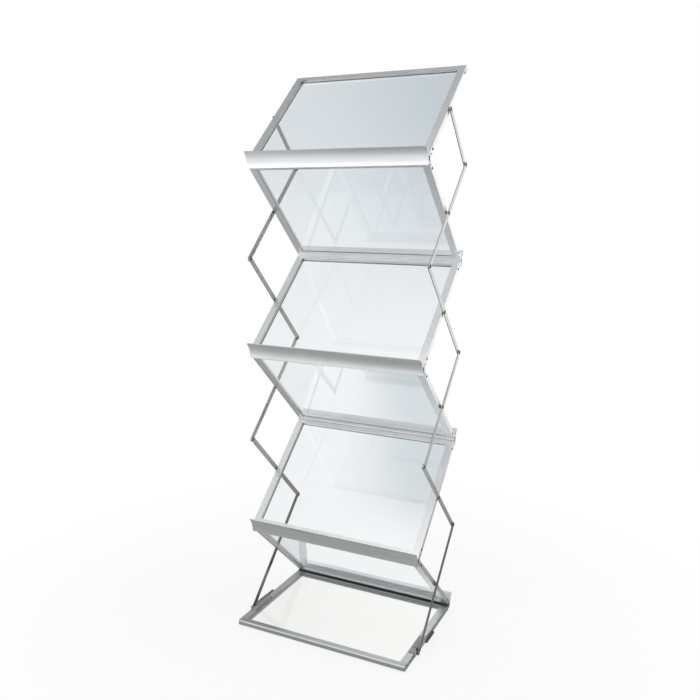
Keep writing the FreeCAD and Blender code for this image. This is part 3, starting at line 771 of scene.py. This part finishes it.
@dataclass
class Panel:
    """One clear panel: gutter rail, top rail, side rails, sheet, corner screws and pivot rivets."""

    number: int
    screw: SocketScrew = SocketScrew()
    rivet: Rivet = Rivet()
    key: CornerKey = CornerKey()

    @property
    def name(self) -> str:
        """Name of the panel's body."""
        return f"panel_{self.number}"

    def dress(self) -> None:
        """Gives the rails and the sheet their finishes."""
        run = Run.RAIL_FALLING if self.number % 2 else Run.RAIL_RISING
        dress(f"{self.name}_gutter_rail", SHADED_LOW_HINGE_FINISH if self.number == 1 else RAIL_FINISH[Run.ACROSS])
        dress(f"{self.name}_top_rail", RAIL_FINISH[Run.ACROSS])
        for rail in ("left_rail", "right_rail"):
            dress(f"{self.name}_{rail}", RAIL_FINISH[run])
        dress(f"{self.name}_sheet", SHEET_FINISH)

    def pivot_rows(self) -> np.ndarray:
        """Works out the profile of a pivot: outer head, shoulder between rail and bar, and inner head.

        Returns:
            Rows of height over the side rail and radius.
        """
        layer = SIZES.outer_layer if self.number % 2 else SIZES.arm_gap
        rivet, seat = self.rivet, layer - SIZES.gap
        shoulder = ((seat, rivet.shank), (seat, rivet.head), (0.0, rivet.head), (0.0, rivet.shank))
        outer = rivet.outer_head(layer + SIZES.arm_thick + SIZES.gap)
        return np.vstack((outer, shoulder, rivet.inner_head(-SIZES.wall)))

    def build(self) -> None:
        """Builds the corner screws, the keys that they hold and the shoulder rivets of the arms' pivots."""
        start, end, middle = SIZES.cross_deep, SIZES.long - SIZES.cross_deep, SIZES.frame_thick / 2.0
        spots = [SIZES.spot(self.number, along, middle)
                 for along in (start + SIZES.screw_inset, end - SIZES.screw_inset)]
        screws = [self.screw.at((side.value * SIZES.half, *spot), (side.value, 0.0, 0.0))
                  for side in Side for spot in spots]
        hub = SIZES.spot(self.number, SIZES.long / 2.0, middle)
        pivots = [self.rivet.at(self.pivot_rows(), side, *hub) for side in Side]
        groove = SIZES.panel_lip + SIZES.gap + SIZES.sheet_thick / 2.0
        keys = self.key.four(SIZES.panel_place(self.number), (start, end), SIZES.half - SIZES.wall,
                             SIZES.frame_thick, groove)
        for kind, grids, finish in (("screws", screws, SCREW_FINISH), ("pivot_rivets", pivots, RIVET_FINISH),
                                    ("corner_keys", keys, KEY_FINISH)):
            new_piece(f"{self.name}_{kind}", grids, finish, self.name, (f"{self.name}_fixings",))


@dataclass
class ArmPair:
    """Pair of flat bars that cross one panel, and the rivets at their elbows."""

    number: int
    rivet: Rivet = Rivet()

    def dress(self) -> None:
        """Gives the bars their finish."""
        finish = BAR_FINISH[Run.BAR_RISING if self.number % 2 else Run.BAR_FALLING]
        dress(f"arms_{self.number}", SHADED_LOWEST_BAR_FINISH if self.number == 1 else finish)

    def build(self) -> None:
        """Builds domed rivets where these arms meet the next pair."""
        if self.number == PANELS:
            return
        depth = SIZES.pivot_back + (SIZES.half_run if self.number % 2 else -SIZES.half_run)
        height = SIZES.hinge_height + self.number * SIZES.rise
        rows = np.vstack((self.rivet.outer_head(SIZES.outer_layer + SIZES.arm_thick + SIZES.gap),
                          self.rivet.inner_head(SIZES.arm_gap - SIZES.gap)))
        grids = [self.rivet.at(rows, side, depth, height) for side in Side]
        new_piece(f"elbow_domed_rivets_{self.number}", grids, RIVET_FINISH, f"arms_{self.number}",
                  (f"elbow_rivets_{self.number}",))


@dataclass
class Base:
    """Flat base: four rails, sheet, fixings and rubber pads."""

    screw: SocketScrew = SocketScrew()
    key: CornerKey = CornerKey()

    def dress(self) -> None:
        """Gives the base's pieces their finishes."""
        dress("base_front_rail", SHADED_FRONT_FINISH)
        dress("base_rear_rail", SHADED_REAR_FINISH)
        for rail in ("left_rail", "right_rail"):
            dress(f"base_{rail}", RAIL_FINISH[Run.LEVEL])
        dress("base_sheet", BASE_SHEET_FINISH)
        dress("base_pads", PAD_FINISH)

    def build(self) -> None:
        """Builds the corner keys and the screws that hold them from below."""
        start = SIZES.base_front + SIZES.front_deep
        end = SIZES.base_front + SIZES.base_deep - SIZES.cross_deep
        outer = SIZES.half - SIZES.track_deep - SIZES.wall
        across = (SIZES.chamber + outer) / 2.0
        screws = [self.screw.at((side.value * across, along, SIZES.pad_high), (0.0, 0.0, -1.0))
                  for side in Side for along in (start + SIZES.screw_inset, end - SIZES.screw_inset)]
        groove = SIZES.base_thick - SIZES.base_lip - SIZES.gap - SIZES.sheet_thick / 2.0
        keys = self.key.four(Matrix.Translation((0.0, 0.0, SIZES.pad_high)), (start, end), outer,
                             SIZES.base_thick, groove)
        new_piece("base_screws", screws, SCREW_FINISH, "base", ("base_fixings",))
        new_piece("base_corner_keys", keys, KEY_FINISH, "base", ("base_fixings",))


@dataclass
class Feet:
    """Shoes of the lowest arms on the base's side rails, their rivets and clamp levers."""

    rivet: Rivet = Rivet()

    def dress(self) -> None:
        """Gives the shoes and levers their finishes."""
        for side in ("left", "right"):
            dress(f"{side}_shoe", SHOE_FINISH)
            dress(f"{side}_lever", LEVER_FINISH)

    def build(self) -> None:
        """Builds the domed rivets that join the arms to the shoes."""
        rivet, seat = self.rivet, SIZES.outer_layer - SIZES.gap
        inner, outer = SIZES.shoe_gap, SIZES.shoe_gap + SIZES.shoe_plate
        spacer = ((seat, rivet.shank), (seat, rivet.head), (outer, rivet.head), (outer, rivet.shank),
                  (inner, rivet.shank), (inner, 0.0))
        rows = np.vstack((rivet.outer_head(SIZES.outer_layer + SIZES.arm_thick + SIZES.gap), spacer))
        depth, height = SIZES.pivot_back - SIZES.half_run, SIZES.hinge_height
        grids = [rivet.at(rows, side, depth, height) for side in Side]
        new_piece("foot_domed_rivets", grids, RIVET_FINISH, "shoes", ("foot_rivets",))


@dataclass(frozen=True)
class Lamp:
    """Soft lamp that metal mirrors, and that doesn't show through the clear sheets; lengths are in metres."""

    name: str
    place: Point
    aim: Point
    size: Pair
    watts: float

    def build(self) -> None:
        """Hangs the lamp at its place, with its face turned to its aim."""
        data = bpy.data.lights.new(self.name, "AREA")
        data.shape, data.energy = "RECTANGLE", self.watts
        data.size, data.size_y = self.size
        lamp = bpy.data.objects.new(self.name, data)
        lamp.visible_transmission = False
        bpy.context.scene.collection.objects.link(lamp)
        turn = (Vector(self.place) - Vector(self.aim)).to_track_quat("Z", "Y")
        lamp.matrix_world = Matrix.Translation(self.place) @ turn.to_matrix().to_4x4()


@dataclass
class Studio:
    """White floor and soft light; none of it belongs to the stand.

    The floor's ranges are in metres. Those of the surroundings are parts of a direction of length 1: X to the
    right, Y to the back and Z up. Two levels hold for the start and the end of a range.
    """

    floor_wide: float = 7.0
    floor_tone: str = "#F4F4F4"
    shadow: Pair = (0.8, 1.0)
    shadow_range: Pair = (0.5, 1.3)
    mirror: Pair = (0.40, 1.05)
    mirror_range: Pair = (0.5, 2.4)
    ahead_range: Pair = (0.02, 0.07)
    dusk: str = "#DAE1E3"
    dusk_slant: float = 0.45
    dusk_across: Pair = (-0.15, 0.35)
    dusk_back: Pair = (0.4, 1.0)

    ambient: float = 0.85
    backdrop: float = 1.7
    dim: float = 0.42
    dim_edge: Pair = (-30.0, -12.0)     # degrees to the right of straight back
    dark: float = 0.38
    dark_edge: Pair = (20.0, 30.0)
    wall: float = 0.58
    wall_back: Pair = (-0.1, 0.3)
    ceiling_left: Pair = (0.66, 0.20)
    ceiling_left_back: Pair = (0.0, 0.15)
    ceiling_right: Pair = (1.25, 0.20)
    ceiling_right_back: Pair = (0.04, 0.24)
    ceiling_across: Pair = (-0.50, -0.36)
    ceiling_lift: Pair = (0.5, 0.75)
    glass_across: Pair = (-0.50, -0.30)
    upper_left: str = "#ECF0F2"
    upper_right: str = "#CDD6DC"
    upper_lift: Pair = (-0.22, 0.13)
    overhead_left: str = "#D0D0D0"
    overhead_right: str = "#FFFFFF"
    overhead_lift: Pair = (0.2, 0.4)
    lamps: tuple[Lamp, ...] = (
        Lamp("front_left_softbox", (-1.1, -2.25, 1.15), aim=(0.0, 0.0, 1.0), size=(2.2, 1.1), watts=8.0),
        Lamp("high_right_softbox", (2.0, 0.6, 3.0), aim=(0.0, 0.0, 0.8), size=(1.4, 1.4), watts=13.0),
    )

    def paper(self) -> bpy.types.Material:
        """Builds the floor's finish: it shows as white, with the stand's shadow close by.

        Polished pieces mirror it dim close by and brighter far off, in front of the stand's middle also
        through a sheet. Behind the stand's right half it is a shade darker through the clear sheets.

        Returns:
            The material.
        """
        material, tree, place = new_tree("white_paper_floor")
        ray = add_node(tree, "ShaderNodeLightPath").outputs
        part = add_node(tree, "ShaderNodeSeparateXYZ", {0: place}).outputs
        away = add_node(tree, "ShaderNodeVectorMath", {0: place}, operation="LENGTH").outputs["Value"]
        bare = ramp(tree, away, self.shadow_range, self.shadow)
        mirror = ramp(tree, away, self.mirror_range, self.mirror)
        slant = reckon(tree, "MULTIPLY_ADD", part["Y"], self.dusk_slant, part["X"])
        right = ramp(tree, slant, self.dusk_across, (0.0, 1.0))
        behind = ramp(tree, part["Y"], self.dusk_back, (0.0, right))
        dusk = blend(tree, behind, WHITE, linear(self.dusk))
        ahead = ramp(tree, part["Y"], self.ahead_range, (1.0, 0.0))
        mirrored = ramp(tree, ray["Glossy Depth"], (0.0, 1.0), (0.0, ahead))
        gloss = blend(tree, ray["Is Glossy Ray"], WHITE, mirror)
        seen = blend(tree, ray["Is Transmission Ray"], gloss, blend(tree, mirrored, dusk, mirror))
        shown = reckon(tree, "MULTIPLY", ray["Is Camera Ray"], bare)
        other = reckon(tree, "MAXIMUM", ray["Is Glossy Ray"], ray["Is Transmission Ray"])
        share = reckon(tree, "MAXIMUM", shown, other)
        matt = add_node(tree, "ShaderNodeBsdfDiffuse", {"Color": linear(self.floor_tone)}).outputs[0]
        glow = add_node(tree, "ShaderNodeEmission", {"Color": seen, "Strength": 1.0}).outputs[0]
        both = add_node(tree, "ShaderNodeMixShader", {0: share, 1: matt, 2: glow})
        add_node(tree, "ShaderNodeOutputMaterial", {"Surface": both.outputs[0]})
        return material

    def floor(self) -> None:
        """Lays a level square of floor under the stand."""
        half = self.floor_wide / 2.0
        corners = ((-half, -half, 0.0), (half, -half, 0.0), (half, half, 0.0), (-half, half, 0.0))
        mesh = bpy.data.meshes.new("studio_floor")
        mesh.from_pydata(corners, [], [(0, 1, 2, 3)])
        mesh.materials.append(self.paper())
        floor = bpy.data.objects.new("studio_floor", mesh)
        bpy.context.scene.collection.objects.link(floor)

    def room(self, tree: Tree, part: bpy.types.NodeOutputs) -> Socket:
        """Works out what metal mirrors: a bright backdrop between a dim left and a dark right, and a ceiling.

        Args:
            tree: Node tree of the surroundings.
            part: X, Y and Z of a direction.

        Returns:
            Level of the room in that direction.
        """
        turn = reckon(tree, "ARCTAN2", part["X"], part["Y"])
        lift = reckon(tree, "ABSOLUTE", part["Z"])
        dim_edge, dark_edge = (tuple(map(math.radians, edge)) for edge in (self.dim_edge, self.dark_edge))
        left = ramp(tree, turn, dim_edge, (self.dim, self.backdrop))
        behind = ramp(tree, turn, dark_edge, (left, self.dark))
        front = ramp(tree, part["Y"], self.wall_back, (self.wall, behind))
        over_left = ramp(tree, part["Y"], self.ceiling_left_back, self.ceiling_left)
        over_right = ramp(tree, part["Y"], self.ceiling_right_back, self.ceiling_right)
        ceiling = ramp(tree, part["X"], self.ceiling_across, (over_left, over_right))
        return ramp(tree, lift, self.ceiling_lift, (front, ceiling))

    def beyond(self, tree: Tree, part: bpy.types.NodeOutputs) -> Socket:
        """Works out what shows through the sheets: white, and bluer and darker higher up, most at the right.

        Args:
            tree: Node tree of the surroundings.
            part: X, Y and Z of a direction.

        Returns:
            Colour of the surroundings in that direction.
        """
        right = ramp(tree, part["X"], self.glass_across, (0.0, 1.0))
        high = ramp(tree, part["Z"], self.upper_lift, (0.0, 1.0))
        top = ramp(tree, part["Z"], self.overhead_lift, (0.0, 1.0))
        upper = blend(tree, right, linear(self.upper_left), linear(self.upper_right))
        overhead = blend(tree, right, linear(self.overhead_left), linear(self.overhead_right))
        return blend(tree, top, blend(tree, high, WHITE, upper), overhead)

    def world(self) -> None:
        """Surrounds the stand with white, and with levels of their own for mirrored and transmitted light."""
        world = bpy.data.worlds.new("white_studio")
        world.use_nodes = True
        tree = world.node_tree
        tree.nodes.clear()
        way = add_node(tree, "ShaderNodeTexCoord").outputs["Generated"]
        part = add_node(tree, "ShaderNodeSeparateXYZ", {0: way}).outputs
        ray = add_node(tree, "ShaderNodeLightPath").outputs
        even = (self.ambient, self.ambient, self.ambient, 1.0)
        matt = blend(tree, ray["Is Glossy Ray"], even, self.room(tree, part))
        through = blend(tree, ray["Is Transmission Ray"], matt, self.beyond(tree, part))
        level = blend(tree, ray["Is Camera Ray"], through, WHITE)
        sky = add_node(tree, "ShaderNodeBackground", {"Color": level, "Strength": 1.0})
        add_node(tree, "ShaderNodeOutputWorld", {"Surface": sky.outputs[0]})
        bpy.context.scene.world = world

    def build(self) -> None:
        """Builds the floor, the surroundings and the lamps."""
        self.floor()
        self.world()
        for lamp in self.lamps:
            lamp.build()


@dataclass
class PhotoCamera:
    """Camera at the photograph's viewing angle; its place is in millimetres, and its turns are in degrees."""

    place: Point = (831.26, -1722.65, 1089.2)
    yaw: float = 25.779
    pitch: float = -10.297
    roll: float = 0.516
    lens: float = 38.835
    sensor: float = 36.0

    def build(self) -> None:
        """Builds the camera: forward from yaw and pitch, then a small roll about it."""
        yaw, pitch, roll = (math.radians(angle) for angle in (self.yaw, self.pitch, self.roll))
        ahead = Vector((-math.sin(yaw) * math.cos(pitch), math.cos(yaw) * math.cos(pitch), math.sin(pitch)))
        right = Vector((math.cos(yaw), math.sin(yaw), 0.0))
        up = right.cross(ahead)
        across = math.cos(roll) * right + math.sin(roll) * up
        upright = math.cos(roll) * up - math.sin(roll) * right
        data = bpy.data.cameras.new("photo_camera")
        data.lens, data.sensor_width = self.lens, self.sensor
        camera = bpy.data.objects.new("photo_camera", data)
        bpy.context.scene.collection.objects.link(camera)
        turn = Matrix((across, upright, -ahead)).transposed().to_4x4()
        camera.matrix_world = Matrix.Translation(Vector(self.place) * MM) @ turn
        bpy.context.scene.camera = camera


def main() -> None:
    """Builds and dresses the stand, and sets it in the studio."""
    logging.basicConfig(level=logging.INFO, format="%(name)s: %(message)s")
    scene = bpy.context.scene
    scene.view_settings.view_transform = "Standard"
    scene.cycles.max_bounces = scene.cycles.transmission_bounces = LIGHT_STEPS
    base, feet = Base(), Feet()
    base.dress()
    base.build()
    feet.dress()
    feet.build()
    for number in range(1, PANELS + 1):
        panel, arms = Panel(number), ArmPair(number)
        panel.dress()
        panel.build()
        arms.dress()
        arms.build()
    Studio().build()
    PhotoCamera().build()


if __name__ == "__main__":
    main()
